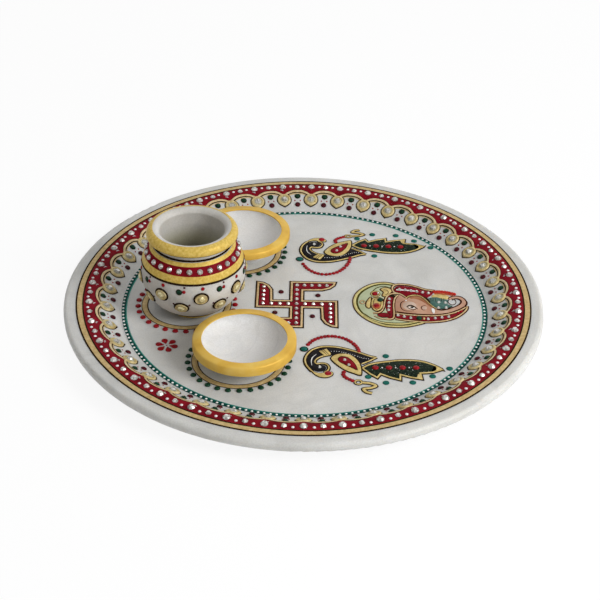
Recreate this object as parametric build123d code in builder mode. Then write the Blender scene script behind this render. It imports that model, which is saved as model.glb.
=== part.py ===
from build123d import *
import math
import os

# Puja thali: a turned marble plate set with glued stones, carrying a loose kalash and two loose bowls.
# Millimetres, +Z up, origin at the centre of the plate's flat underside.
# The kalash stands on the -X side, the bowls beside it towards -Y (near) and +Y (far).

# Plate
plate_diameter = 254.0
plate_floor_thickness = 6.4
rim_width = 16.0
rim_rise = 6.6
wall_run = 13.0
edge_height = 5.0
edge_roll = 2.2
edge_roll_limit = 0.48
underside_overhang = 35.0
rim_blend = 4.0
floor_blend = 5.0
foot_round = 1.5

# Kalash, the pot
kalash_wall_gap = 12.0
kalash_side_shift = -1.0
kalash_belly_diameter = 55.0
kalash_belly_level = 22.5
kalash_foot_diameter = 28.0
kalash_foot_height = 1.2
kalash_neck_diameter = 40.4
kalash_neck_step = 0.7
kalash_neck_bevel = 0.4
kalash_neck_height = 3.35
kalash_lip_diameter = 47.6
kalash_lip_roll = 3.5
kalash_lip_undercut = 2.0
kalash_lip_turn = 160.0
kalash_bore_diameter = 31.8
kalash_bore_level = 24.0
kalash_base_thickness = 6.0
kalash_well_diameter = 24.0

# Bowls, a pair that differs only in the height of the rim band
bowl_diameter = 52.4
bowl_height = 14.0
bowl_rim_width = 4.4
bowl_rim_bevel = 0.7
bowl_foot_diameter = 28.0
bowl_foot_height = 1.0
bowl_base_thickness = 4.0
bowl_step = 0.9
near_band_height = 4.9
far_band_height = 3.7
bowl_gap = 4.8
near_bowl_bearing = -60.3
far_bowl_bearing = 66.0

# Stones: flat-backed, with a straight girdle, sloping crown facets and a flat table
glue_film = 0.08
girdle_share = 0.35
table_share = 0.55
scallop_count = 40
scallop_lead = -0.6
scallop_swing = 3.0
scallop_swing_bearing = 338.0
rim_stone_margin = 2.5
large_stone_diameter = 3.9
large_stone_height = 1.4
medium_stone_diameter = 3.1
medium_stone_height = 1.1
bead_height = 0.9

# Kundan settings and drops on the sloping wall, placed by their share of the way down the slope
drop_place = 0.483
drop_head_diameter = 7.0
drop_tip_length = 1.0
drop_height = 1.0
drop_draft = 20.0
kundan_stone_diameter = 3.5
kundan_stone_height = 1.3
pocket_depth = 0.5
pocket_clearance = 0.12
green_drop_place = 0.32
green_drop_diameter = 2.9
maroon_drop_place = 0.72
maroon_drop_diameter = 2.8

# Bead rings on the floor, each off-centre from the piece that stands on it
seat_bead_count = 29
seat_bead_diameter = 3.1
kalash_ring_inset = 1.7
bowl_ring_inset = 0.4
kalash_ring_shift = (-3.9, -1.0)
near_ring_shift = (-3.0, -0.3)
far_ring_shift = (-2.2, -1.0)

# Painted motifs on the floor, as drawn for a floor of this diameter; they grow with the floor
drawn_floor_diameter = 196.0
swastika_centre = (-3.8, -0.2)
swastika_reach = 18.0
swastika_bar_stones = 4
swastika_hook_stones = 4
swastika_hook_step = 4.05
swastika_stone_diameter = 2.2
swastika_stone_height = 0.9
swastika_dot_offset = (11.4, 8.5)
swastika_dot_diameter = 3.0
ganesha_ear_row = ((51.8, 15.6), (67.4, 12.2))
ganesha_ear_count = 6
ganesha_band_row = ((46.0, 5.8), (45.2, -4.6))
ganesha_band_count = 4
ganesha_collar_row = ((50.0, -9.4), (56.7, -11.7))
ganesha_collar_count = 3
ganesha_cheek_row = ((65.9, -12.5), (76.9, -9.9))
ganesha_cheek_count = 4
ganesha_hand_stones = ((72.4, 3.5), (76.0, 3.2), (72.0, -1.7), (76.1, -1.6))
ganesha_red_stones_at = ((38.4, 10.8), (38.9, -0.8))
ganesha_green_stones_at = ((41.0, 4.6), (61.2, -11.9))
ganesha_stone_diameter = 1.9
ganesha_crown_stone_diameter = 2.8
peacock_tail_row = ((36.8, 56.6), (57.4, 56.0))
peacock_tail_count = 4
peacock_crest_at = (12.9, 62.2)
peacock_clear_at = ((21.4, 50.6), (23.4, 54.8), (8.6, 57.0))
peacock_throat_at = (0.6, 41.4)
peacock_teal_at = ((42.4, 46.2), (33.0, 64.2), (41.8, 68.9), (55.2, 68.3), (65.4, 62.8), (74.4, 56.0))
peacock_red_diameter = 3.3
peacock_clear_diameter = 2.0
peacock_teal_diameter = 3.1
far_peacock_shift = (-3.3, 3.2)

# Stones on the kalash
collar_drop = 3.9
collar_stone_count = 28
collar_stone_diameter = 3.0
collar_stone_height = 1.2
bezel_count = 8
bezel_width = 6.4
bezel_length = 5.6
bezel_height = 0.7
bezel_stone_diameter = 4.0
bezel_stone_height = 1.0
upper_bezel_drop = 1.8
lower_bezel_drop = 8.1
upper_bezel_bearing = -77.5

# Values worked out from the above
plate_radius = plate_diameter / 2
rim_inner_radius = plate_radius - rim_width
floor_radius = rim_inner_radius - wall_run
floor_z = plate_floor_thickness
rim_z = floor_z + rim_rise
wall_angle = math.degrees(math.atan2(rim_rise, wall_run))
wall_length = math.hypot(rim_rise, wall_run)
kalash_radius = kalash_belly_diameter / 2
kalash_x = -(floor_radius - kalash_radius - kalash_wall_gap)
kalash_y = kalash_side_shift
bowl_reach = kalash_radius + bowl_diameter / 2 + bowl_gap
scallop_pitch = 360 / scallop_count
motif_scale = 2 * floor_radius / drawn_floor_diameter


def beside_kalash(bearing):
    """The place of a bowl that stands the usual gap away from the kalash."""
    angle = math.radians(bearing)
    return kalash_x + bowl_reach * math.cos(angle), kalash_y + bowl_reach * math.sin(angle)


near_bowl_x, near_bowl_y = beside_kalash(near_bowl_bearing)
far_bowl_x, far_bowl_y = beside_kalash(far_bowl_bearing)

# The belly is one arc from the top of the foot through the widest point
foot_radius = kalash_foot_diameter / 2
belly_rise = kalash_belly_level - kalash_foot_height
belly_spread = kalash_radius - foot_radius
belly_centre_radius = (kalash_radius**2 - foot_radius**2 - belly_rise**2) / (2 * belly_spread)
belly_arc_radius = kalash_radius - belly_centre_radius
neck_radius = kalash_neck_diameter / 2
shoulder_radius = neck_radius + kalash_neck_step
shoulder_inset = shoulder_radius - belly_centre_radius
shoulder_z = kalash_belly_level + math.sqrt(belly_arc_radius**2 - shoulder_inset**2)


def facet_slope(diameter, height, sides):
    """The lean of a facet row that narrows a polygon to the table's share of its size over this height."""
    inset = diameter / 2 * math.cos(math.pi / sides) * (1 - table_share)
    return math.degrees(math.atan2(inset, height))


def cut_stone(diameter, height, sides):
    """A flat-backed stone with a straight girdle, one row of crown facets and a flat table."""
    girdle_height = height * girdle_share
    crown_height = height - girdle_height
    with BuildPart() as stone:
        with BuildSketch():
            RegularPolygon(diameter / 2, sides)
        extrude(amount=girdle_height)
        with BuildSketch(Plane.XY.offset(girdle_height)):
            RegularPolygon(diameter / 2, sides)
        extrude(amount=crown_height, taper=facet_slope(diameter, crown_height, sides))
    return stone.part


def bead(diameter, height, sides=6):
    """A small bead of stone or enamel: one row of leaning facets under a flat top."""
    with BuildPart() as drop:
        with BuildSketch():
            RegularPolygon(diameter / 2, sides)
        extrude(amount=height, taper=facet_slope(diameter, height, sides))
    return drop.part


def scallop_ring(share):
    """A turn round the plate for each scallop, moved on by this share of the pitch.

    The ring was set out by hand: its pitch is wider on the near side than on the far side.
    """
    turns = []
    for i in range(scallop_count):
        even = scallop_pitch * (i + share)
        swing = scallop_swing * math.cos(math.radians(even - scallop_swing_bearing))
        turns.append(Location((0, 0, 0), (0, 0, even + scallop_lead + swing)))
    return turns


def row_of_points(ends, count):
    """Evenly spaced points from the first end to the last."""
    (x0, y0), (x1, y1) = ends
    return [(x0 + (x1 - x0) * i / (count - 1), y0 + (y1 - y0) * i / (count - 1)) for i in range(count)]


def on_floor(points):
    """Places on the plate's floor for points of the drawn motifs."""
    return [(x * motif_scale, y * motif_scale, floor_z + glue_film) for x, y in points]


def on_wall(place):
    """The place in a radial plane on the sloping wall, at this share of the way down from the rim."""
    along = math.radians(wall_angle)
    setback = place * wall_length
    radius = rim_inner_radius - setback * math.cos(along) - glue_film * math.sin(along)
    height = rim_z - setback * math.sin(along) + glue_film * math.cos(along)
    return Location((radius, 0, height), (0, -wall_angle, 0))


def belly_location(level):
    """The place in a radial plane on the kalash's belly at this height above its foot, facing outwards."""
    lift = math.asin((level - kalash_belly_level) / belly_arc_radius)
    reach = belly_arc_radius + glue_film
    radius = belly_centre_radius + reach * math.cos(lift)
    height = kalash_belly_level + reach * math.sin(lift)
    return Location((radius, 0, height), (0, 90 - math.degrees(lift), 0))


def turned_bowl(band_height):
    """A shallow bowl on a small foot, with a thick rim band and a rounded hollow."""
    radius = bowl_diameter / 2
    bowl_foot_radius = bowl_foot_diameter / 2
    hollow_radius = radius - bowl_rim_width
    hollow_depth = bowl_height - bowl_base_thickness
    band_z = bowl_height - band_height
    with BuildPart() as bowl:
        with BuildSketch(Plane.XZ):
            with BuildLine():
                Polyline(
                    (0, bowl_base_thickness),
                    (0, 0),
                    (bowl_foot_radius, 0),
                    (bowl_foot_radius, bowl_foot_height),
                    (radius - bowl_step, band_z),
                    (radius, band_z),
                    (radius, bowl_height - bowl_rim_bevel),
                    (radius - bowl_rim_bevel, bowl_height),
                    (hollow_radius, bowl_height),
                )
                EllipticalCenterArc((0, bowl_height), hollow_radius, hollow_depth, -90, arc_size=90)
            make_face()
        revolve(axis=Axis.Z)
    return bowl.part


os.makedirs("parts", exist_ok=True)

# Plate: a revolved profile with a rolled edge, softened wall and flat underside
with BuildPart() as plate:
    underside_radius = plate_radius - underside_overhang
    with BuildSketch(Plane.XZ) as plate_profile:
        with BuildLine():
            Polyline(
                (0, 0),
                (underside_radius, 0),
                (plate_radius, rim_z - edge_height),
                (plate_radius, rim_z),
                (rim_inner_radius, rim_z),
                (floor_radius, floor_z),
                (0, floor_z),
                close=True,
            )
        make_face()
        corners = plate_profile.vertices()
        edge_corners = corners.group_by(Axis.X)[-1]
        fillet(edge_corners, radius=min(edge_roll, edge_height * edge_roll_limit))
        fillet(plate_profile.vertices().sort_by_distance((rim_inner_radius, 0, rim_z))[0], radius=rim_blend)
        fillet(plate_profile.vertices().sort_by_distance((floor_radius, 0, floor_z))[0], radius=floor_blend)
        fillet(plate_profile.vertices().sort_by_distance((underside_radius, 0, 0))[0], radius=foot_round)
    revolve(axis=Axis.Z)
plate.part.label = "plate"
export_step(plate.part, "parts/plate.step")

# Rim stones: a large one at each cusp and a medium one over each arch
rim_stone_radius = rim_inner_radius + rim_stone_margin
with BuildPart() as rim_large_stones:
    with Locations(*scallop_ring(0)):
        with Locations((rim_stone_radius, 0, rim_z + glue_film)):
            add(cut_stone(large_stone_diameter, large_stone_height, 8))
rim_large_stones.part.label = "rim_large_stones"
export_step(rim_large_stones.part, "parts/rim_large_stones.step")

with BuildPart() as rim_medium_stones:
    with Locations(*scallop_ring(0.5)):
        with Locations((rim_stone_radius, 0, rim_z + glue_film)):
            add(cut_stone(medium_stone_diameter, medium_stone_height, 6))
rim_medium_stones.part.label = "rim_medium_stones"
export_step(rim_medium_stones.part, "parts/rim_medium_stones.step")

# Kundan settings: a drop with its point towards the plate's centre and a pocket for the stone
head_radius = drop_head_diameter / 2
drop_tip_reach = head_radius + drop_tip_length
tangent_angle = math.acos(head_radius / drop_tip_reach)
tangent_x = -head_radius * math.cos(tangent_angle)
tangent_y = head_radius * math.sin(tangent_angle)
with BuildPart() as drop_setting:
    with BuildSketch():
        Circle(head_radius)
        Polygon((-drop_tip_reach, 0), (tangent_x, -tangent_y), (tangent_x, tangent_y), align=None)
    extrude(amount=drop_height, taper=drop_draft)
    with BuildSketch(Plane.XY.offset(drop_height)):
        RegularPolygon(kundan_stone_diameter / 2 + pocket_clearance, 8)
    extrude(amount=-pocket_depth, mode=Mode.SUBTRACT)

with BuildPart() as kundan_bezels:
    with Locations(*scallop_ring(0)):
        with Locations(on_wall(drop_place)):
            add(drop_setting.part)
kundan_bezels.part.label = "kundan_bezels"
export_step(kundan_bezels.part, "parts/kundan_bezels.step")

with BuildPart() as kundan_stones:
    with Locations(*scallop_ring(0)):
        with Locations(on_wall(drop_place)):
            with Locations((0, 0, drop_height - pocket_depth + glue_film)):
                add(cut_stone(kundan_stone_diameter, kundan_stone_height, 8))
kundan_stones.part.label = "kundan_stones"
export_step(kundan_stones.part, "parts/kundan_stones.step")

# Green and maroon drops under each arch
with BuildPart() as rim_green_drops:
    with Locations(*scallop_ring(0.5)):
        with Locations(on_wall(green_drop_place)):
            add(bead(green_drop_diameter, bead_height))
rim_green_drops.part.label = "rim_green_drops"
export_step(rim_green_drops.part, "parts/rim_green_drops.step")

with BuildPart() as rim_maroon_drops:
    with Locations(*scallop_ring(0.5)):
        with Locations(on_wall(maroon_drop_place)):
            add(bead(maroon_drop_diameter, bead_height))
rim_maroon_drops.part.label = "rim_maroon_drops"
export_step(rim_maroon_drops.part, "parts/rim_maroon_drops.step")

# Bead rings that mark where the kalash and the bowls stand
seat_bead = bead(seat_bead_diameter, bead_height)
seat_level = floor_z + glue_film
kalash_ring_radius = kalash_radius - kalash_ring_inset
bowl_ring_radius = bowl_diameter / 2 - bowl_ring_inset
with BuildPart() as kalash_seat_beads:
    with Locations((kalash_x + kalash_ring_shift[0], kalash_y + kalash_ring_shift[1], seat_level)):
        with PolarLocations(kalash_ring_radius, seat_bead_count):
            add(seat_bead)
kalash_seat_beads.part.label = "kalash_seat_beads"
export_step(kalash_seat_beads.part, "parts/kalash_seat_beads.step")

with BuildPart() as near_bowl_seat_beads:
    with Locations((near_bowl_x + near_ring_shift[0], near_bowl_y + near_ring_shift[1], seat_level)):
        with PolarLocations(bowl_ring_radius, seat_bead_count):
            add(seat_bead)
near_bowl_seat_beads.part.label = "near_bowl_seat_beads"
export_step(near_bowl_seat_beads.part, "parts/near_bowl_seat_beads.step")

with BuildPart() as far_bowl_seat_beads:
    with Locations((far_bowl_x + far_ring_shift[0], far_bowl_y + far_ring_shift[1], seat_level)):
        with PolarLocations(bowl_ring_radius, seat_bead_count):
            add(seat_bead)
far_bowl_seat_beads.part.label = "far_bowl_seat_beads"
export_step(far_bowl_seat_beads.part, "parts/far_bowl_seat_beads.step")

# Swastika: a stone at the crossing, then along each bar and its hook, four times round
bar_step = swastika_reach / swastika_bar_stones
bar_points = [(0, bar_step * (i + 1)) for i in range(swastika_bar_stones)]
hook_points = [(swastika_hook_step * (i + 1), swastika_reach) for i in range(swastika_hook_stones)]
swastika_place = on_floor([swastika_centre])[0]
swastika_stone = cut_stone(swastika_stone_diameter, swastika_stone_height, 6)
with BuildPart() as swastika_stones:
    with Locations(swastika_place):
        add(swastika_stone)
        with PolarLocations(0, 4):
            with Locations(*[(x * motif_scale, y * motif_scale) for x, y in bar_points + hook_points]):
                add(swastika_stone)
swastika_stones.part.label = "swastika_stones"
export_step(swastika_stones.part, "parts/swastika_stones.step")

dot_x, dot_y = swastika_dot_offset
with BuildPart() as swastika_dots:
    with Locations(swastika_place):
        with PolarLocations(0, 4):
            with Locations((dot_x * motif_scale, dot_y * motif_scale)):
                add(bead(swastika_dot_diameter, bead_height))
swastika_dots.part.label = "swastika_dots"
export_step(swastika_dots.part, "parts/swastika_dots.step")

# Ganesha: rows of clear stones on the ear, headband, collar and cheek, coloured ones on the crown
ganesha_points = (
    row_of_points(ganesha_ear_row, ganesha_ear_count)
    + row_of_points(ganesha_band_row, ganesha_band_count)
    + row_of_points(ganesha_collar_row, ganesha_collar_count)
    + row_of_points(ganesha_cheek_row, ganesha_cheek_count)
    + list(ganesha_hand_stones)
)
with BuildPart() as ganesha_clear_stones:
    with Locations(*on_floor(ganesha_points)):
        add(cut_stone(ganesha_stone_diameter, bead_height, 6))
ganesha_clear_stones.part.label = "ganesha_clear_stones"
export_step(ganesha_clear_stones.part, "parts/ganesha_clear_stones.step")

with BuildPart() as ganesha_red_stones:
    with Locations(*on_floor(ganesha_red_stones_at)):
        add(bead(ganesha_crown_stone_diameter, bead_height))
ganesha_red_stones.part.label = "ganesha_red_stones"
export_step(ganesha_red_stones.part, "parts/ganesha_red_stones.step")

with BuildPart() as ganesha_green_stones:
    with Locations(*on_floor(ganesha_green_stones_at)):
        add(bead(ganesha_crown_stone_diameter, bead_height))
ganesha_green_stones.part.label = "ganesha_green_stones"
export_step(ganesha_green_stones.part, "parts/ganesha_green_stones.step")

# Peacocks: drawn once for the far side, and turned over the X axis for the near side
peacock_teal_points = [peacock_throat_at] + list(peacock_teal_at)
peacock_red_points = row_of_points(peacock_tail_row, peacock_tail_count) + [peacock_crest_at]


def near_side(points):
    """Places on the floor for the near peacock."""
    return on_floor([(x, -y) for x, y in points])


def far_side(points):
    """Places on the floor for the far peacock, which is painted a little further back and in."""
    return on_floor([(x + far_peacock_shift[0], y + far_peacock_shift[1]) for x, y in points])


peacock_clear_stone = cut_stone(peacock_clear_diameter, bead_height, 6)
peacock_red_stone = bead(peacock_red_diameter, bead_height)
peacock_teal_stone = bead(peacock_teal_diameter, bead_height)

with BuildPart() as near_peacock_clear_stones:
    with Locations(*near_side(peacock_clear_at)):
        add(peacock_clear_stone)
near_peacock_clear_stones.part.label = "near_peacock_clear_stones"
export_step(near_peacock_clear_stones.part, "parts/near_peacock_clear_stones.step")

with BuildPart() as near_peacock_red_stones:
    with Locations(*near_side(peacock_red_points)):
        add(peacock_red_stone)
near_peacock_red_stones.part.label = "near_peacock_red_stones"
export_step(near_peacock_red_stones.part, "parts/near_peacock_red_stones.step")

with BuildPart() as near_peacock_teal_stones:
    with Locations(*near_side(peacock_teal_points)):
        add(peacock_teal_stone)
near_peacock_teal_stones.part.label = "near_peacock_teal_stones"
export_step(near_peacock_teal_stones.part, "parts/near_peacock_teal_stones.step")

with BuildPart() as far_peacock_clear_stones:
    with Locations(*far_side(peacock_clear_at)):
        add(peacock_clear_stone)
far_peacock_clear_stones.part.label = "far_peacock_clear_stones"
export_step(far_peacock_clear_stones.part, "parts/far_peacock_clear_stones.step")

with BuildPart() as far_peacock_red_stones:
    with Locations(*far_side(peacock_red_points)):
        add(peacock_red_stone)
far_peacock_red_stones.part.label = "far_peacock_red_stones"
export_step(far_peacock_red_stones.part, "parts/far_peacock_red_stones.step")

with BuildPart() as far_peacock_teal_stones:
    with Locations(*far_side(peacock_teal_points)):
        add(peacock_teal_stone)
far_peacock_teal_stones.part.label = "far_peacock_teal_stones"
export_step(far_peacock_teal_stones.part, "parts/far_peacock_teal_stones.step")

# Kalash: one revolved profile, from the foot up the belly, over the rolled lip and down the inside
lip_radius = kalash_lip_diameter / 2
neck_base_z = shoulder_z + kalash_neck_bevel
neck_top_z = neck_base_z + kalash_neck_height
lip_z = neck_top_z + kalash_lip_undercut
lip_centre_radius = lip_radius - kalash_lip_roll
lip_end_angle = math.radians(kalash_lip_turn)
lip_end_radius = lip_centre_radius + kalash_lip_roll * math.cos(lip_end_angle)
lip_end_z = lip_z + kalash_lip_roll * math.sin(lip_end_angle)
well_radius = kalash_well_diameter / 2
kalash_stand = Plane(origin=(kalash_x, kalash_y, floor_z), x_dir=(1, 0, 0), z_dir=(0, -1, 0))
with BuildPart() as kalash:
    with BuildSketch(kalash_stand):
        with BuildLine():
            Polyline((0, kalash_base_thickness), (0, 0), (foot_radius, 0), (foot_radius, kalash_foot_height))
            ThreePointArc(
                (foot_radius, kalash_foot_height),
                (kalash_radius, kalash_belly_level),
                (shoulder_radius, shoulder_z),
            )
            Polyline(
                (shoulder_radius, shoulder_z),
                (neck_radius, neck_base_z),
                (neck_radius, neck_top_z),
            )
            Bezier((neck_radius, neck_top_z), (lip_radius, neck_top_z), (lip_radius, lip_z))
            CenterArc((lip_centre_radius, lip_z), kalash_lip_roll, 0, kalash_lip_turn)
            ThreePointArc(
                (lip_end_radius, lip_end_z),
                (kalash_bore_diameter / 2, kalash_bore_level),
                (well_radius, kalash_base_thickness),
            )
            Line((well_radius, kalash_base_thickness), (0, kalash_base_thickness))
        make_face()
    revolve(axis=Axis((kalash_x, kalash_y, floor_z), (0, 0, 1)))
kalash.part.label = "kalash"
export_step(kalash.part, "parts/kalash.step")

# Collar stones round the shoulder
kalash_foot_place = (kalash_x, kalash_y, floor_z)
with BuildPart() as kalash_collar_stones:
    with Locations(kalash_foot_place):
        with PolarLocations(0, collar_stone_count):
            with Locations(belly_location(shoulder_z - collar_drop)):
                add(cut_stone(collar_stone_diameter, collar_stone_height, 8))
kalash_collar_stones.part.label = "kalash_collar_stones"
export_step(kalash_collar_stones.part, "parts/kalash_collar_stones.step")

# Settings on the belly: two rows, the lower one staggered by half a step
bezel_rows = (
    (kalash_belly_level - upper_bezel_drop, upper_bezel_bearing),
    (kalash_belly_level - lower_bezel_drop, upper_bezel_bearing + 180 / bezel_count),
)
with BuildPart() as belly_setting:
    with BuildSketch():
        Ellipse(bezel_length / 2, bezel_width / 2)
    extrude(amount=bezel_height)
    with BuildSketch(Plane.XY.offset(bezel_height)):
        RegularPolygon(bezel_stone_diameter / 2 + pocket_clearance, 8)
    extrude(amount=-bezel_height / 2, mode=Mode.SUBTRACT)

with BuildPart() as kalash_bezels:
    for level, bearing in bezel_rows:
        with Locations(kalash_foot_place):
            with PolarLocations(0, bezel_count, start_angle=bearing):
                with Locations(belly_location(level)):
                    add(belly_setting.part)
kalash_bezels.part.label = "kalash_bezels"
export_step(kalash_bezels.part, "parts/kalash_bezels.step")

with BuildPart() as kalash_bezel_stones:
    for level, bearing in bezel_rows:
        with Locations(kalash_foot_place):
            with PolarLocations(0, bezel_count, start_angle=bearing):
                with Locations(belly_location(level)):
                    with Locations((0, 0, bezel_height / 2 + glue_film)):
                        add(cut_stone(bezel_stone_diameter, bezel_stone_height, 8))
kalash_bezel_stones.part.label = "kalash_bezel_stones"
export_step(kalash_bezel_stones.part, "parts/kalash_bezel_stones.step")

# Bowls
with BuildPart() as near_bowl:
    with Locations((near_bowl_x, near_bowl_y, floor_z)):
        add(turned_bowl(near_band_height))
near_bowl.part.label = "near_bowl"
export_step(near_bowl.part, "parts/near_bowl.step")

with BuildPart() as far_bowl:
    with Locations((far_bowl_x, far_bowl_y, floor_z)):
        add(turned_bowl(far_band_height))
far_bowl.part.label = "far_bowl"
export_step(far_bowl.part, "parts/far_bowl.step")

print("kalash at", round(kalash_x, 2), round(kalash_y, 2), "shoulder height", round(shoulder_z, 2))
print("bowls at", [round(v, 2) for v in (near_bowl_x, near_bowl_y, far_bowl_x, far_bowl_y)])
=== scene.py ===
import math
import random

import bmesh
import bpy
from mathutils import Matrix, Vector


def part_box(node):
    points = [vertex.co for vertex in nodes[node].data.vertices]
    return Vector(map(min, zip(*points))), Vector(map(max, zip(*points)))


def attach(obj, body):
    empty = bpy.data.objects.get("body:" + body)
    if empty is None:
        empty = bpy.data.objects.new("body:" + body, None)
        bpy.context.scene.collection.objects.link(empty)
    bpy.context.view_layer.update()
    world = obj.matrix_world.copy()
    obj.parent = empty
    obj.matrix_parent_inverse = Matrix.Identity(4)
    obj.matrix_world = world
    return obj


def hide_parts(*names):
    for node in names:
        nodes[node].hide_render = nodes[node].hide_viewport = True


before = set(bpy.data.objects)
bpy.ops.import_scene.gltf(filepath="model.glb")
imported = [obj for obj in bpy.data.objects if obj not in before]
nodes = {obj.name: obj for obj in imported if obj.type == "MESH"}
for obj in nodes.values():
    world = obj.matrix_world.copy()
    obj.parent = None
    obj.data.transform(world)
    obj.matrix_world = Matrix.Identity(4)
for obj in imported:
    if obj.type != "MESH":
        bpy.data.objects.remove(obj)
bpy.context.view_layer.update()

# Lengths of the drawing are millimetres; meshes, materials, lamps and the camera take metres.
MM = 0.001

# Plate, as in the solids
FLOOR_Z = 6.4
RIM_Z = 13.0
FLOOR_R = 98.0
RIM_R = 111.0
WALL_SLOPE = (RIM_Z - FLOOR_Z) / (RIM_R - FLOOR_R)
WALL_ANGLE = math.atan(WALL_SLOPE)
WALL_LENGTH = math.hypot(RIM_Z - FLOOR_Z, RIM_R - FLOOR_R)
FLOOR_BLEND = 1.1
RIM_BLEND = 0.9
SCALLOPS = 40
PITCH = 360.0 / SCALLOPS
SCALLOP_LEAD = -0.6
SCALLOP_SWING = 3.0
SCALLOP_SWING_BEARING = 338.0
SINK = 0.05

# Kalash, as in the solids
BELLY_LEVEL = 22.5
BELLY_ARC = 23.55
BELLY_CENTRE = 3.95
SHOULDER_Z = 38.85
NECK_R = 20.2
NECK_TOP_Z = 42.6
LIP_Z = 44.6
LIP_R = 23.8
LIP_ROLL = 3.5
LIP_TURN = 86.0
FOOT_R = 14.0
BEZELS = 8
UPPER_BEARING = -77.5
UPPER_LEVEL = BELLY_LEVEL - 1.8
LOWER_LEVEL = BELLY_LEVEL - 8.1

# Bowls, as in the solids
BOWL_R = 26.2
BOWL_TOP = 14.0
BOWL_BEVEL = 0.7
BOWL_HOLLOW_R = 21.8
BOWL_STEP = 0.9


def centre_of(node):
    """The middle of a node's box in the plan, in millimetres."""
    low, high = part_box(node)
    return (low.x + high.x) / 2 / MM, (low.y + high.y) / 2 / MM


KALASH = centre_of("kalash")
NEAR_BOWL = centre_of("near_bowl")
FAR_BOWL = centre_of("far_bowl")


# Places: each turns a flat drawing's point and a height above the surface into a point of the object

def ramp(x, blend):
    """Zero before the corner, x after it, with a rounded change."""
    if x <= -blend:
        return 0.0
    if x >= blend:
        return x
    return (x + blend) ** 2 / (4 * blend)


def top_z(radius):
    """Height of the plate's upper surface."""
    rise = ramp(radius - FLOOR_R, FLOOR_BLEND) - ramp(radius - RIM_R, RIM_BLEND)
    return FLOOR_Z + WALL_SLOPE * rise


def on_plate(x, y, h):
    return Vector((x, y, top_z(math.hypot(x, y)) + h))


def spot(origin, along, across, normal):
    """A flat place on a slanting surface."""
    return lambda u, v, h: origin + along * u + across * v + normal * h


def scallop_bearing(place):
    """Bearing of a place in the hand-set ring of scallops, counted in scallops."""
    even = PITCH * place
    swing = SCALLOP_SWING * math.cos(math.radians(even - SCALLOP_SWING_BEARING))
    return even + SCALLOP_LEAD + swing


def on_ring(radius, place):
    """The point of the plan at a radius and a place in the ring of scallops."""
    a = math.radians(scallop_bearing(place))
    return radius * math.cos(a), radius * math.sin(a)


def wall_spot(bearing, place):
    """A place on the sloping wall: u points up the slope and v round the plate."""
    a = math.radians(bearing)
    out = Vector((math.cos(a), math.sin(a), 0))
    up = Vector((0, 0, 1))
    along = out * math.cos(WALL_ANGLE) + up * math.sin(WALL_ANGLE)
    normal = up * math.cos(WALL_ANGLE) - out * math.sin(WALL_ANGLE)
    setback = place * WALL_LENGTH
    origin = out * RIM_R + up * RIM_Z - along * setback
    return spot(origin, along, normal.cross(along), normal)


def belly_radius(level):
    return BELLY_CENTRE + math.sqrt(BELLY_ARC**2 - (level - BELLY_LEVEL) ** 2)


def belly_spot(level, bearing):
    """A place on the kalash's belly: u points down the belly and v round it."""
    a = math.radians(bearing)
    lift = math.asin((level - BELLY_LEVEL) / BELLY_ARC)
    out = Vector((math.cos(a), math.sin(a), 0))
    up = Vector((0, 0, 1))
    normal = out * math.cos(lift) + up * math.sin(lift)
    along = out * math.sin(lift) - up * math.cos(lift)
    foot = Vector((KALASH[0], KALASH[1], FLOOR_Z))
    origin = foot + out * belly_radius(level) + up * level
    return spot(origin, along, normal.cross(along), normal)


# Drawing: outlines and paths in the plane

def curve(points, closed=False, steps=5):
    """A smooth line through the points."""
    n = len(points)
    out = []
    for i in range(n if closed else n - 1):
        if closed:
            p = [points[(i + k) % n] for k in (-1, 0, 1, 2)]
        else:
            p = [points[min(max(i + k, 0), n - 1)] for k in (-1, 0, 1, 2)]
        for s in range(steps):
            t = s / steps
            w = (
                -0.5 * t + t * t - 0.5 * t**3,
                1 - 2.5 * t * t + 1.5 * t**3,
                0.5 * t + 2 * t * t - 1.5 * t**3,
                -0.5 * t * t + 0.5 * t**3,
            )
            out.append(tuple(sum(w[k] * p[k][c] for k in range(4)) for c in (0, 1)))
    if not closed:
        out.append(tuple(points[-1]))
    return out


def loop(points):
    """A smooth closed outline through the points."""
    return curve(points, True, 4)


def ellipse(x, y, rx, ry, count=20):
    turn = 2 * math.pi / count
    return [(x + rx * math.cos(turn * k), y + ry * math.sin(turn * k)) for k in range(count)]


def drop_shape(head, tip, count=16):
    """A round head with its point towards -u."""
    reach = head + tip
    start = math.pi - math.acos(head / reach)
    arc = [start - 2 * start * k / count for k in range(count + 1)]
    return [(head * math.cos(a), -head * math.sin(a)) for a in arc] + [(-reach, 0.0)]


def area(outline):
    sides = zip(outline, outline[1:] + outline[:1])
    return sum(ax * by - bx * ay for (ax, ay), (bx, by) in sides) / 2


def side_steps(path, closed):
    """For each point of a path the sideways step that keeps an even width round its bends."""
    n = len(path)
    steps = []
    for i in range(n):
        before = path[i - 1] if closed or i else path[0]
        after = path[(i + 1) % n] if closed or i < n - 1 else path[-1]
        sides = []
        for (x0, y0), (x1, y1) in ((before, path[i]), (path[i], after)):
            length = math.hypot(x1 - x0, y1 - y0)
            if length > 1e-9:
                sides.append(Vector((-(y1 - y0) / length, (x1 - x0) / length)))
        mid = sum(sides, Vector((0, 0)))
        if mid.length < 1e-6:
            mid = sides[0].copy()
        mid.normalize()
        steps.append(mid / max(0.6, mid.dot(sides[0])))
    return steps


def shifted(path, distance, closed=False):
    """The path moved sideways, to its left where the distance is positive."""
    return [(x + s.x * distance, y + s.y * distance) for (x, y), s in zip(path, side_steps(path, closed))]


def inset(outline, distance):
    return shifted(outline, distance if area(outline) > 0 else -distance, True)


# Pieces: a layer gathers small closed solids of one look into one object

LAYERS = []
SHARP_ANGLE = 48


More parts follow.
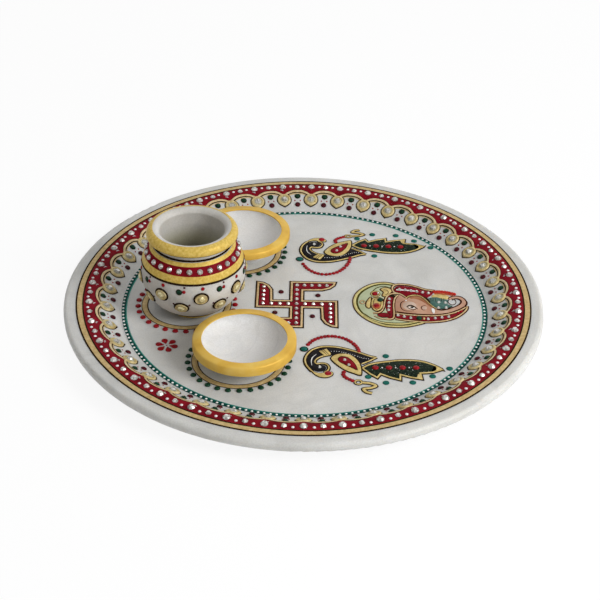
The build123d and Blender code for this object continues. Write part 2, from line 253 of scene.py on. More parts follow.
class Layer:
    def __init__(self, name, look, body="tray", replaces=()):
        self.name = name
        self.look = look
        self.slot = SLOT_OF[look.name]
        self.body = body
        self.replaces = replaces
        self.verts = []
        self.faces = []
        LAYERS.append(self)

    def loft(self, rings, closed=False):
        """Joins rings of points into a closed solid: end to end, or round again to the first ring."""
        base = len(self.verts)
        n = len(rings[0])
        m = len(rings)
        for ring in rings:
            self.verts.extend(ring)
        for i in range(m if closed else m - 1):
            for k in range(n):
                here = base + i * n
                there = base + (i + 1) % m * n
                self.faces.append((here + k, here + (k + 1) % n, there + (k + 1) % n, there + k))
        if not closed:
            self.faces.append(tuple(base + k for k in reversed(range(n))))
            self.faces.append(tuple(base + (m - 1) * n + k for k in range(n)))

    def ribbon(self, path, width, height, put=on_plate, closed=False):
        """A raised line of paint; the width is a number, or a row of them spread along the line."""
        widths = width if isinstance(width, tuple) else (width, width)
        section = ((-0.5, -SINK), (-0.5, 0.5), (-0.28, 1.0), (0.28, 1.0), (0.5, 0.5), (0.5, -SINK))
        rings = []
        steps = side_steps(path, closed)
        for i, ((x, y), s) in enumerate(zip(path, steps)):
            along = i / (len(path) - 1) * (len(widths) - 1)
            part = min(int(along), len(widths) - 2)
            w = widths[part] + (widths[part + 1] - widths[part]) * (along - part)
            rings.append(
                [put(x + s.x * w * o, y + s.y * w * o, h * height if h > 0 else h) for o, h in section]
            )
        self.loft(rings, closed)

    def fill(self, outline, height, put=on_plate, lip=0.2, sink=SINK):
        """A flat field of paint with a softened edge."""
        inner = inset(outline, lip)
        rings = [
            [put(x, y, -sink) for x, y in outline],
            [put(x, y, 0.55 * height) for x, y in outline],
            [put(x, y, height) for x, y in inner],
        ]
        self.loft(rings)

    def setting(self, outline, pocket, height, put):
        """A gilt setting with a rounded rim and a pocket for its stone."""
        well = [(pocket * x / math.hypot(x, y), pocket * y / math.hypot(x, y)) for x, y in outline]
        rings = []
        for share, h in ((0.0, 0.0), (0.0, 0.4), (0.2, 0.8), (0.5, 1.0), (0.85, 0.95), (1.0, 0.5)):
            ring = [(x + (u - x) * share, y + (v - y) * share) for (x, y), (u, v) in zip(outline, well)]
            rings.append([put(x, y, h * height) for x, y in ring])
        self.loft(rings)

    def dome(self, x, y, radius, height, put=on_plate, sides=12):
        """A drop of enamel or a small round stone."""
        rings = []
        for share, h in ((1.0, -SINK), (0.98, 0.35), (0.8, 0.72), (0.5, 0.93), (0.18, 1.0)):
            circle = ellipse(x, y, radius * share, radius * share, sides)
            rings.append([put(u, v, h * height if h > 0 else h) for u, v in circle])
        self.loft(rings)

    def band(self, inner, outer, height, segments=360, across=4):
        """A ring of paint on the plate; its edges are radii or functions of the place in the ring."""
        rings = []
        for i in range(segments):
            place = SCALLOPS * i / segments
            low = inner(place) if callable(inner) else inner
            high = outer(place) if callable(outer) else outer
            section = [(low, -SINK)]
            section += [(low + (high - low) * k / across, height) for k in range(across + 1)]
            section += [(high, -SINK)]
            rings.append([on_plate(*on_ring(r, place), h) for r, h in section])
        self.loft(rings, True)

    def shell(self, centre, profile, thickness, segments=128):
        """A coat of paint round a turned piece, along a profile of radii and heights over the floor."""
        steps = side_steps(profile, False)
        outer = [(r - s.x * thickness, z - s.y * thickness) for (r, z), s in zip(profile, steps)]
        under = [(r + s.x * SINK, z + s.y * SINK) for (r, z), s in zip(profile, steps)]
        section = outer + under[::-1]
        rings = []
        for i in range(segments):
            a = 2 * math.pi * i / segments
            x, y = math.cos(a), math.sin(a)
            ring = [(centre[0] + r * x, centre[1] + r * y, FLOOR_Z + z) for r, z in section]
            rings.append([Vector(point) for point in ring])
        self.loft(rings, True)

    def build(self):
        mesh = bpy.data.meshes.new(self.name)
        mesh.from_pydata([v * MM for v in self.verts], [], self.faces)
        bm = bmesh.new()
        bm.from_mesh(mesh)
        bmesh.ops.recalc_face_normals(bm, faces=bm.faces)
        bmesh.ops.triangulate(bm, faces=[f for f in bm.faces if len(f.verts) > 4])
        bm.to_mesh(mesh)
        bm.free()
        mesh.shade_smooth()
        mesh.set_sharp_from_angle(angle=math.radians(SHARP_ANGLE))
        mesh.materials.append(self.look)
        piece = bpy.data.objects.new(self.name, mesh)
        bpy.context.scene.collection.objects.link(piece)
        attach(piece, self.body)
        if self.replaces:
            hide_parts(*self.replaces)


def edged(line, edges, path, width, edge, height=0.38, put=on_plate, closed=False):
    """A line of paint between two thin darker lines, each in its own layer."""
    line.ribbon(path, width, height, put, closed)
    for side in (-1, 1):
        beside = shifted(path, side * (width / 2 + 0.35 * edge), closed)
        edges.ribbon(beside, edge, 0.6 * height, put, closed)


# Materials

TONE_PLACES = {2: (0.3, 0.7), 3: (0.3, 0.5, 0.72)}
VEINS = ((0.475, (0, 0, 0)), (0.5, (0.16, 0.16, 0.16)), (0.525, (0, 0, 0)))
VEIN_GREY = (0.5, 0.5, 0.49, 1.0)
GRAIN = ((0.35, (0.9, 0.9, 0.89)), (0.65, (1.0, 1.0, 1.0)))
# Painted shade inside the kalash: olive grey tones by depth below the mouth, how deep it reaches, and the
# radii over which it fades in
HOLLOW_SHADE = ((0.2, (1.0, 1.0, 1.0)), (0.55, (0.68, 0.67, 0.54)), (1.0, (0.2, 0.175, 0.1)))
HOLLOW_SHADE_DEPTH = 24.0
HOLLOW_SHADE_R = (17.5, 19.5)


def feed(tree, node, inputs):
    """Links the inputs that come from other nodes and sets the rest."""
    for key, value in inputs.items():
        if isinstance(value, bpy.types.NodeSocket):
            tree.links.new(value, node.inputs[key])
        else:
            node.inputs[key].default_value = value


def add(tree, kind, inputs):
    node = tree.nodes.new(kind)
    feed(tree, node, inputs)
    return node


def new_material(name):
    mat = bpy.data.materials.new(name)
    mat.use_nodes = True
    return mat, mat.node_tree, mat.node_tree.nodes["Principled BSDF"]


def object_coords(tree):
    return tree.nodes.new("ShaderNodeTexCoord").outputs["Object"]


def noise(tree, coords, scale, detail, distortion=0.0):
    inputs = {"Vector": coords, "Scale": scale, "Detail": detail, "Distortion": distortion}
    return add(tree, "ShaderNodeTexNoise", inputs).outputs["Fac"]


def colour_ramp(tree, factor, stops):
    node = add(tree, "ShaderNodeValToRGB", {"Fac": factor})
    marks = node.color_ramp.elements
    while len(marks) < len(stops):
        marks.new(0.5)
    for mark, (place, rgb) in zip(marks, stops):
        mark.position = place
        mark.color = (*rgb, 1.0)
    return node.outputs["Color"]


def spread(tree, factor, low, high, start=0.0, end=1.0):
    """A factor between start and end, turned into one between low and high."""
    inputs = {"Value": factor, "From Min": start, "From Max": end, "To Min": low, "To Max": high}
    return add(tree, "ShaderNodeMapRange", inputs).outputs["Result"]


def mixed(tree, blend, share, tone, other):
    """A tone blended with another colour by a share."""
    node = tree.nodes.new("ShaderNodeMix")
    node.data_type = "RGBA"
    node.blend_type = blend
    feed(tree, node, {"Factor": share, "A": tone, "B": other})
    return node.outputs["Result"]


def vector_math(tree, operation, first, second):
    node = tree.nodes.new("ShaderNodeVectorMath")
    node.operation = operation
    feed(tree, node, {0: first, 1: second})
    return node


def bumped(tree, height, distance):
    inputs = {"Height": height, "Distance": distance, "Strength": 1.0}
    return add(tree, "ShaderNodeBump", inputs).outputs["Normal"]


def mottled(
    name, tones, scale, rough, bump=(900.0, 0.00003), at=None, specular=0.2, metallic=0.0, coat=0.0
):
    """Paint, enamel or metal whose tone, gloss and surface vary a little from place to place."""
    mat, tree, shader = new_material(name)
    stops = tuple(zip(at or TONE_PLACES[len(tones)], tones))
    coords = object_coords(tree)
    grain = noise(tree, coords, bump[0], 3.0)
    feed(tree, shader, {
        "Base Color": colour_ramp(tree, noise(tree, coords, scale, 5.0, 0.4), stops),
        "Roughness": spread(tree, grain, *rough),
        "Normal": bumped(tree, grain, bump[1]),
        "Specular IOR Level": specular,
        "Metallic": metallic,
        "Coat Weight": coat,
        "Coat Roughness": 0.1,
    })
    return mat


def painted_hollow_shade(tree, coords, tone):
    """Painted shade down the kalash's inside: its tone darkens to olive grey with depth below the mouth.
    """
    plan = vector_math(tree, "MULTIPLY", coords, (1, 1, 0)).outputs["Vector"]
    axis = (KALASH[0] * MM, KALASH[1] * MM, 0)
    radius = vector_math(tree, "DISTANCE", plan, axis).outputs["Value"]
    inside = spread(tree, radius, 1.0, 0.0, HOLLOW_SHADE_R[0] * MM, HOLLOW_SHADE_R[1] * MM)
    height = add(tree, "ShaderNodeSeparateXYZ", {"Vector": coords}).outputs["Z"]
    mouth = (FLOOR_Z + LIP_Z) * MM
    depth = spread(tree, height, 1.0, 0.0, mouth - HOLLOW_SHADE_DEPTH * MM, mouth)
    return mixed(tree, "MULTIPLY", inside, tone, colour_ramp(tree, depth, HOLLOW_SHADE))


def marble_material(name, dark, middle, light, shade_inside=False):
    """Honed marble: soft clouds, faint veins and a fine grain; the kalash's gets painted shade down its
    inside.
    """
    mat, tree, shader = new_material(name)
    coords = object_coords(tree)
    clouds = noise(tree, coords, 45.0, 9.0, 0.5)
    tone = colour_ramp(tree, clouds, ((0.3, dark), (0.5, middle), (0.72, light)))
    veins = colour_ramp(tree, noise(tree, coords, 11.0, 9.0, 2.2), VEINS)
    tone = mixed(tree, "MIX", veins, tone, VEIN_GREY)
    grain = noise(tree, coords, 1400.0, 4.0)
    tone = mixed(tree, "MULTIPLY", 1.0, tone, colour_ramp(tree, grain, GRAIN))
    # Painted shade: darker and olive grey towards the bottom of the kalash's hollow
    if shade_inside:
        tone = painted_hollow_shade(tree, coords, tone)
    feed(tree, shader, {
        "Base Color": tone,
        "Roughness": spread(tree, grain, 0.35, 0.55),
        "Normal": bumped(tree, grain, 0.00005),
        "Subsurface Weight": 0.5,
        "Subsurface Radius": (1.0, 0.9, 0.75),
        "Subsurface Scale": 0.006,
        "Specular IOR Level": 0.35,
    })
    return mat


def stone_material(name, dark, light):
    """Foil-backed cut stones with painted glints: each facet's colour is set at random between dark and
    light, standing in for the share of the light it throws back.
    """
    mat, tree, shader = new_material(name)
    # Painted glints: a random tone for each facet stands in for the light it reflects
    facet_glint = tree.nodes.new("ShaderNodeNewGeometry").outputs["Random Per Island"]
    feed(tree, shader, {
        "Base Color": colour_ramp(tree, facet_glint, ((0.0, dark), (1.0, light))),
        "Roughness": spread(tree, facet_glint, 0.08, 0.25),
        "Metallic": 0.25,
        "Coat Weight": 0.4,
        "Coat Roughness": 0.08,
        "IOR": 1.6,
    })
    return mat


LINE_PAINT = {"scale": 500.0, "rough": (0.6, 0.8), "specular": 0.02}
GLASS = {"scale": 800.0, "rough": (0.2, 0.35), "specular": 0.12, "at": (0.3, 0.6)}
MARBLE = marble_material("white_marble", (0.63, 0.625, 0.6), (0.7, 0.695, 0.67), (0.77, 0.765, 0.745))
# The kalash's marble carries painted shade down its inside
KALASH_MARBLE = marble_material(
    "cream_marble", (0.62, 0.595, 0.55), (0.7, 0.675, 0.63), (0.76, 0.74, 0.71), shade_inside=True
)
BOWL_MARBLE = marble_material(
    "bright_marble", (0.78, 0.765, 0.75), (0.83, 0.82, 0.805), (0.87, 0.86, 0.85)
)
GOLD = mottled(
    "gold_paint", ((0.58, 0.38, 0.07), (0.7, 0.49, 0.11), (0.8, 0.6, 0.18)),
    700.0, (0.3, 0.46), (2200.0, 0.00004), metallic=0.1, specular=0.08,
)
LINE_GOLD = mottled(
    "tan_gold_paint", ((0.44, 0.3, 0.12), (0.56, 0.4, 0.17), (0.65, 0.49, 0.25)),
    520.0, (0.4, 0.6), (1800.0, 0.00006), metallic=0.15,
)
RIM_GOLD = mottled(
    "mustard_gold_paint", ((0.66, 0.385, 0.06), (0.77, 0.485, 0.085), (0.83, 0.58, 0.15)),
    90.0, (0.32, 0.48), (1200.0, 0.00005), metallic=0.15, specular=0.1,
)
CREAM_GOLD = mottled(
    "cream_gold_paint", ((0.5, 0.36, 0.11), (0.64, 0.48, 0.17), (0.74, 0.6, 0.28)),
    520.0, (0.4, 0.6), metallic=0.1,
)
PEACH_GOLD = mottled(
    "peach_gold_paint", ((0.52, 0.34, 0.15), (0.66, 0.46, 0.23), (0.76, 0.59, 0.35)),
    520.0, (0.4, 0.6), metallic=0.1,
)
ARCH_CREAM = mottled(
    "arch_cream_paint", ((0.55, 0.39, 0.18), (0.67, 0.51, 0.28), (0.76, 0.63, 0.41)),
    520.0, (0.4, 0.6),
)
SETTING = mottled(
    "gilt_setting", ((0.45, 0.335, 0.13), (0.6, 0.475, 0.22), (0.71, 0.6, 0.36)),
    600.0, (0.35, 0.55), metallic=0.15,
)
RED = mottled(
    "crimson_enamel", ((0.14, 0.003, 0.009), (0.215, 0.005, 0.013), (0.29, 0.008, 0.018)),
    170.0, (0.45, 0.65), specular=0.04, at=(0.3, 0.5, 0.75),
)
RED_DROP = mottled("red_glass_drop", ((0.17, 0.002, 0.006), (0.36, 0.006, 0.012)), **GLASS)
FRINGE = mottled(
    "bright_red_fringe_paint", ((0.36, 0.012, 0.008), (0.58, 0.035, 0.02)),
    800.0, (0.35, 0.5), specular=0.1,
)
MAROON = mottled("maroon_glass_drop", ((0.03, 0.0008, 0.003), (0.075, 0.002, 0.006)), **GLASS)
GREEN = mottled(
    "green_line_paint", ((0.002, 0.036, 0.029), (0.004, 0.06, 0.048), (0.01, 0.11, 0.088)),
    220.0, (0.45, 0.65), specular=0.03, at=(0.3, 0.5, 0.75),
)
BRIGHT_GREEN = mottled(
    "bright_green_edge_paint", ((0.012, 0.16, 0.125), (0.04, 0.33, 0.26)), 220.0, (0.35, 0.55)
)
GREEN_DROP = mottled("green_glass_drop", ((0.001, 0.014, 0.006), (0.004, 0.05, 0.02)), **GLASS)
TEAL = mottled(
    "teal_enamel", ((0.006, 0.08, 0.062), (0.018, 0.145, 0.115)),
    600.0, (0.45, 0.65), specular=0.05, at=(0.3, 0.6),
)
SEA_GREEN = mottled(
    "sea_green_enamel", ((0.022, 0.085, 0.066), (0.05, 0.145, 0.118), (0.1, 0.22, 0.185)),
    500.0, (0.3, 0.5), at=(0.3, 0.55, 0.75),
)
DARK = mottled("dark_line_paint", ((0.01, 0.005, 0.002), (0.035, 0.018, 0.008)), **LINE_PAINT)
BLACK = mottled(
    "black_enamel", ((0.004, 0.004, 0.005), (0.018, 0.016, 0.019)), 700.0, (0.4, 0.6), specular=0.03
)
TAIL = mottled(
    "speckled_dark_green_enamel", ((0.004, 0.008, 0.005), (0.012, 0.022, 0.013), (0.055, 0.08, 0.048)),
    900.0, (0.4, 0.6), specular=0.03, at=(0.35, 0.55, 0.72),
)
PALE_GREEN = mottled(
    "pale_green_wash", ((0.43, 0.48, 0.27), (0.52, 0.57, 0.36), (0.6, 0.62, 0.46)),
    180.0, (0.35, 0.5), at=(0.3, 0.6, 0.8),
)
HALO_GOLD = mottled(
    "halo_yellow_paint", ((0.5, 0.42, 0.14), (0.65, 0.56, 0.22), (0.73, 0.65, 0.34)),
    400.0, (0.4, 0.6), at=(0.3, 0.55, 0.75),
)
OLIVE = mottled("olive_line_paint", ((0.04, 0.04, 0.008), (0.1, 0.09, 0.018)), **LINE_PAINT)
PEACH = mottled(
    "peach_enamel", ((0.46, 0.22, 0.13), (0.57, 0.33, 0.22), (0.65, 0.45, 0.34)),
    110.0, (0.4, 0.6), at=(0.3, 0.55, 0.75),
)
PALE_PEACH = mottled("pale_peach_enamel", ((0.56, 0.38, 0.28), (0.66, 0.5, 0.4)), 150.0, (0.4, 0.6))
TAN = mottled(
    "tan_shade_enamel", ((0.28, 0.095, 0.035), (0.42, 0.18, 0.08)), 200.0, (0.4, 0.6), specular=0.1
)
BROWN = mottled("brown_line_paint", ((0.035, 0.009, 0.004), (0.08, 0.024, 0.009)), **LINE_PAINT)
ORANGE = mottled("orange_enamel", ((0.34, 0.05, 0.012), (0.52, 0.13, 0.03)), 500.0, (0.25, 0.4))
WHITE = mottled("white_enamel", ((0.8, 0.8, 0.78), (0.93, 0.93, 0.91)), 900.0, (0.2, 0.35), coat=0.4)
FOIL = mottled(
    "pale_foil", ((0.4, 0.36, 0.2), (0.56, 0.52, 0.34), (0.68, 0.65, 0.5)), 900.0, (0.3, 0.5)
)
CLEAR = stone_material("clear_cut_stone", (0.2, 0.19, 0.165), (0.74, 0.73, 0.69))
YELLOW = stone_material("yellow_cut_stone", (0.42, 0.35, 0.13), (0.84, 0.76, 0.45))

NODE_LOOKS = {
    "plate": MARBLE, "kalash": KALASH_MARBLE, "near_bowl": BOWL_MARBLE, "far_bowl": BOWL_MARBLE,
    "kalash_bezels": SETTING, "kalash_bezel_stones": YELLOW,
}
CLEAR_STONES = (
    "rim_large", "rim_medium", "kundan", "swastika", "ganesha_clear", "kalash_collar",
    "near_peacock_clear", "far_peacock_clear",
)
for group in CLEAR_STONES:
    NODE_LOOKS[group + "_stones"] = CLEAR
for node_name, look in NODE_LOOKS.items():
    for material_slot in nodes[node_name].material_slots:
        material_slot.material = look

# The material slot that each look stands for
SLOT_LOOKS = {
    "marble": (DARK, BLACK, BROWN, OLIVE, PEACH, PALE_PEACH, TAN, PALE_GREEN),
    "gold_setting": (
        GOLD, LINE_GOLD, RIM_GOLD, CREAM_GOLD, PEACH_GOLD, ARCH_CREAM, SETTING, HALO_GOLD, FOIL,
    ),
    "red_drop": (RED, RED_DROP, FRINGE, MAROON, ORANGE),
    "green_drop": (GREEN, BRIGHT_GREEN, GREEN_DROP, TEAL, SEA_GREEN, TAIL),
    "clear_stone": (WHITE,),
}
SLOT_OF = {look.name: slot for slot, looks in SLOT_LOOKS.items() for look in looks}


# Rim: gold line, red band with an arched inner edge, gold arches and the small drops of the wall

ARCH_CREST = 109.9
ARCH_CUSP = 106.7
ARCH_FULLNESS = 2.4
ARCH_START = 0.06
ARCH_SPAN = 0.88
ARCH_STEPS = 14
ARCH_LINES = (0.0, 0.75, -0.85)
GOLD_LINE = (117.1, 119.75)
DARK_LINES = ((119.75, 120.6, 0.18), (116.4, 117.15, 0.24))
RED_EDGE = 116.5
RIM_DOTS_R = 114.3
KUNDAN_PLACE = 0.483
GREEN_PLACE = 0.32
SPECK_PLACE = 0.53
MAROON_PLACE = 0.72


def arch_radius(place):
    u = place % 1.0 * 2 - 1
    return ARCH_CUSP + (ARCH_CREST - ARCH_CUSP) * (1 - abs(u) ** ARCH_FULLNESS)


rim_dark = Layer("rim_dark_lines", DARK)
for low, high, height in DARK_LINES:
    rim_dark.band(low, high, height)
Layer("rim_gold_line", LINE_GOLD).band(*GOLD_LINE, 0.2)
Layer("rim_red_band", RED).band(lambda b: arch_radius(b) + 0.3, RED_EDGE, 0.16, 720)
rim_arches = Layer("rim_gold_arches", ARCH_CREAM)
for k in range(SCALLOPS):
    places = [k + ARCH_START + ARCH_SPAN * i / ARCH_STEPS for i in range(ARCH_STEPS + 1)]
    arch, over, under = ([on_ring(arch_radius(p) + step, p) for p in places] for step in ARCH_LINES)
    rim_arches.ribbon(arch, 1.3, 0.42)
    rim_dark.ribbon(over, 0.5, 0.24)
    rim_dark.ribbon(under, 0.6, 0.3)
    rim_arches.ribbon(shifted(under, 0.6)[2:-2], 0.5, 0.26)

rim_pearls = Layer("rim_white_dots", WHITE)
rim_specks = Layer("rim_red_specks", RED_DROP)
kundan_outlines = Layer("kundan_dark_outlines", DARK)
foils = Layer("kundan_pale_foils", FOIL)
settings = Layer("kundan_gilt_settings", SETTING, replaces=("kundan_bezels",))
green_drops = Layer("rim_green_glass_drops", GREEN_DROP, replaces=("rim_green_drops",))
maroon_drops = Layer("rim_maroon_glass_drops", MAROON, replaces=("rim_maroon_drops",))
for k in range(SCALLOPS):
    for share in (0.27, 0.73):
        rim_pearls.dome(*on_ring(RIM_DOTS_R, k + share), 0.85, 0.55, sides=8)
    kundan = wall_spot(scallop_bearing(k), KUNDAN_PLACE)
    kundan_outlines.fill(drop_shape(4.5, 0.9), 0.07, kundan, 0.1)
    settings.setting(drop_shape(3.9, 0.6), 2.45, 0.9, kundan)
    foils.fill(ellipse(0, 0, 2.4, 2.4, 16), 0.75, kundan, 0.15)
    middle = scallop_bearing(k + 0.5)
    green_spot = wall_spot(middle, GREEN_PLACE)
    kundan_outlines.dome(0, 0, 1.85, 0.2, green_spot)
    green_drops.dome(0, 0, 1.45, 1.0, green_spot)
    maroon_drops.dome(0, 0, 1.6, 1.0, wall_spot(middle, MAROON_PLACE))
    for side in (-1.6, 1.6):
        rim_specks.dome(0, side, 0.45, 0.3, wall_spot(middle, SPECK_PLACE), 8)

# Green line, drawn a little off the plate's centre, with a brighter inner edge and white dots
LINE_R = 96.15
LINE_CENTRE = (0.6, -1.0)
PEARLS = 196
Layer("green_line", GREEN).ribbon(
    ellipse(*LINE_CENTRE, LINE_R, LINE_R, 360), 2.3, 0.16, closed=True
)
Layer("green_line_bright_edge", BRIGHT_GREEN).ribbon(
    ellipse(*LINE_CENTRE, LINE_R - 1.3, LINE_R - 1.3, 360), 0.6, 0.14, closed=True
)
pearls = Layer("green_line_white_dots", WHITE)
for x, y in ellipse(LINE_CENTRE[0] - 0.4, LINE_CENTRE[1], LINE_R, LINE_R, PEARLS):
    pearls.dome(x, y, 0.68, 0.5, sides=8)


# Seat rings: a gold ring between two dark lines, with a ring of beads outside them

SEAT_RING = 22.3
SEAT_LINES = ((20.8, 0.8), (23.75, 0.5))
SEAT_BEADS = 29
SEAT_BEAD_RING = 25.8
SEATS = (
    ("kalash", (KALASH[0] - 3.9, KALASH[1] - 1.0), RED_DROP),
    ("near_bowl", (NEAR_BOWL[0] - 3.0, NEAR_BOWL[1] - 0.3), GREEN_DROP),
    ("far_bowl", (FAR_BOWL[0] - 2.2, FAR_BOWL[1] - 1.0), GREEN_DROP),
)
seat_gold = Layer("seat_gold_rings", LINE_GOLD)
seat_dark = Layer("seat_dark_lines", DARK)
for vessel, (x, y), look in SEATS:
    seat_gold.ribbon(ellipse(x, y, SEAT_RING, SEAT_RING, 96), 2.6, 0.3, closed=True)
    for radius, width in SEAT_LINES:
        seat_dark.ribbon(ellipse(x, y, radius, radius, 96), width, 0.15, closed=True)
    beads = Layer(vessel + "_seat_glass_beads", look, replaces=(vessel + "_seat_beads",))
    for bx, by in ellipse(x, y, SEAT_BEAD_RING, SEAT_BEAD_RING, SEAT_BEADS):
        beads.dome(bx, by, 1.55, 1.0)


# Swastika: red arms with gold borders between dark lines

SIGN = (-3.8, -0.2)
ARM = ((-3.85, 22.1), (21.7, 22.1), (20.8, 18.2), (18.1, 15.0), (13.8, 13.0), (3.85, 12.7), (3.85, 3.85))


def quarter_turns(points):
    out = []
    for turn in range(4):
        for x, y in points:
            for _ in range(turn):
                x, y = y, -x
            out.append((SIGN[0] + x, SIGN[1] + y))
    return out


sign = quarter_turns(ARM)
Layer("swastika_red_field", RED).fill(inset(sign, 1.4), 0.16)
Layer("swastika_gold_border", PEACH_GOLD).ribbon(inset(sign, 1.0), 1.1, 0.4, closed=True)
sign_dark = Layer("swastika_dark_lines", DARK)
sign_dark.ribbon(inset(sign, 0.15), 0.95, 0.2, closed=True)
sign_dark.ribbon(inset(sign, 1.75), 0.75, 0.24, closed=True)
sign_dots = Layer("swastika_maroon_drops", MAROON, replaces=("swastika_dots",))
for x, y in quarter_turns(((11.4, 8.5),)):
    sign_dots.dome(x, y, 1.5, 1.0)


# Flower of six drops on the near left of the floor

FLOWER = (-70.0, -40.2)
PETALS = 6
PETAL_REACH = 4.3
PETAL_LEAD = -12
flower = Layer("red_flower", RED_DROP)
for k in range(PETALS):
    a = math.radians(360 / PETALS * k + PETAL_LEAD)
    out = Vector((math.cos(a), math.sin(a), 0))
    centre = Vector((*FLOWER, FLOOR_Z)) + out * PETAL_REACH
    petal = spot(centre, out, Vector((-out.y, out.x, 0)), Vector((0, 0, 1)))
    flower.fill(drop_shape(1.6, 1.3), 0.4, petal, 0.35)
flower.dome(*FLOWER, 0.4, 0.2, sides=8)


# Peacocks: drawn once, for the far side with y upwards

ARCH_BEADS = 20
ARCH_END = 41.0
PLUMES = 57.0
BEAD_ARCH = (
    (2.6, 37.4), (5.2, 33.6), (9.2, 30.8), (13.4, 29.6), (17.4, 29.9), (21.6, 31.5), (25.4, 35.0),
    (28.0, 39.4), (28.7, 42.8),
)
CHAIN = ((20.8, 60.8), (20.6, 63.2), (22.1, 65.6), (25.2, 67.8))
BODY = (
    (35.6, 48.0), (30.6, 45.8), (26.2, 43.6), (21.0, 41.3), (16.4, 40.2), (12.0, 40.1), (7.4, 41.8),
    (3.8, 45.4), (2.2, 50.2), (2.6, 54.4), (4.4, 58.2), (7.3, 60.5), (10.5, 60.1), (12.0, 57.9),
    (11.4, 55.6), (9.6, 54.9), (7.2, 55.2), (6.0, 53.4), (6.4, 50.8), (9.4, 47.9), (13.0, 46.2),
    (17.0, 47.0), (23.0, 47.8), (27.6, 51.4), (30.0, 53.0), (33.2, 50.8),
)
RIDGE = (
    (37.4, 47.8), (34.3, 46.8), (29.9, 44.4), (25.2, 42.1), (19.9, 40.0), (15.8, 39.1),
    (11.1, 39.0), (7.4, 40.2), (4.4, 42.6), (2.2, 46.4), (1.2, 50.4), (1.7, 54.4), (3.2, 57.9),
    (4.9, 60.6),
)
WING = ((37.6, 47.6), (34.2, 50.6), (30.0, 53.4))
THROAT = (
    (14.2, 45.9), (10.5, 47.2), (7.5, 49.4), (6.2, 52.2), (7.2, 54.0), (9.9, 53.5), (12.2, 54.4),
    (13.3, 57.0), (12.7, 59.6), (11.0, 61.4),
)
CREST = (
    (4.6, 60.2), (6.2, 63.2), (9.0, 65.4), (12.6, 65.5), (15.2, 63.4), (15.0, 60.9), (12.6, 61.0),
    (8.4, 62.0),
)
BELT = ((7.9, 43.4), (12.2, 40.9), (14.6, 45.2), (10.8, 47.0))
PAISLEY = (
    (14.3, 49.0), (15.8, 46.5), (19.3, 44.9), (23.4, 45.2), (26.3, 47.7), (28.6, 51.6),
    (29.7, 56.4), (29.5, 63.0), (26.1, 61.9), (21.5, 59.1), (17.5, 54.9), (15.2, 51.5),
)
HEART = (
    (18.1, 49.3), (19.9, 47.6), (22.8, 48.4), (25.1, 51.2), (26.8, 54.6), (27.6, 59.0),
    (24.4, 56.8), (20.4, 53.8), (18.4, 51.6),
)
TAIL_TOP = (
    (29.5, 56.4), (33.4, 53.2), (38.2, 51.4), (43.2, 50.2), (49.1, 49.0), (55.0, 48.8),
    (59.8, 49.4), (64.0, 51.0), (68.0, 53.6), (72.0, 57.2),
)
TAIL_STEPS = (
    (66.0, 60.4), (60.2, 61.2), (60.8, 66.4), (54.4, 65.0), (50.0, 63.2), (49.8, 67.6),
    (43.6, 65.2), (39.6, 62.8), (37.8, 66.2), (33.6, 62.6), (29.9, 58.0),
)
TAIL_TIP = (
    (66.2, 53.4), (68.8, 55.4), (70.6, 57.2), (67.0, 59.4), (64.4, 60.2), (67.2, 57.6), (67.2, 55.2),
)
TAIL_TOOTH = ((58.0, 61.2), (60.0, 61.4), (60.2, 65.8), (57.2, 65.0))
SQUIGGLE = (
    (30.0, 69.2), (34.2, 69.8), (36.6, 71.8), (34.0, 73.6), (30.6, 74.4), (31.8, 76.8), (34.6, 77.8),
)
BODY_DOTS = ((14.6, 43.2), (18.0, 43.2), (22.0, 44.4), (26.6, 46.6), (30.6, 48.6), (33.6, 49.2))
# Painted highlight: the path of a pale sheen along the black enamel neck
NECK_SHEEN = ((4.7, 55.6), (4.4, 52.0), (5.0, 48.8), (7.0, 46.0))
RED_SPOTS = ((36.8, 56.6), (43.67, 56.4), (50.53, 56.2), (57.4, 56.0))
CREST_RED = (12.9, 62.2)
TEAL_SPOTS = ((42.4, 46.2), (33.0, 64.2), (41.8, 68.9), (55.2, 68.3), (65.4, 62.8), (74.4, 56.0))
COLLAR_BEAD = (0.6, 41.4)
CREST_RING = (28.0, 69.0)
TAIL_SPECKS = 40
SPECK_SEED = 7
SPECK_X = (34.0, 65.0)
SPECK_Y = (50.5, 62.5)
SPECK_R = (0.14, 0.26)
SPECK_GAP = 2.3
FAR_SHIFT = (-3.3, 3.2)
FAR_ARCH_DEPTH = 1.3
FAR_PLUMES = 0.8


def along_line(points, count):
    """Evenly spaced points on a smooth line."""
    line = curve(points, steps=12)
    lengths = [0.0]
    for (x0, y0), (x1, y1) in zip(line, line[1:]):
        lengths.append(lengths[-1] + math.hypot(x1 - x0, y1 - y0))
    out = []
    for k in range(count):
        goal = lengths[-1] * k / (count - 1)
        i = next(j for j, length in enumerate(lengths) if length >= goal - 1e-9)
        out.append(line[i])
    return out


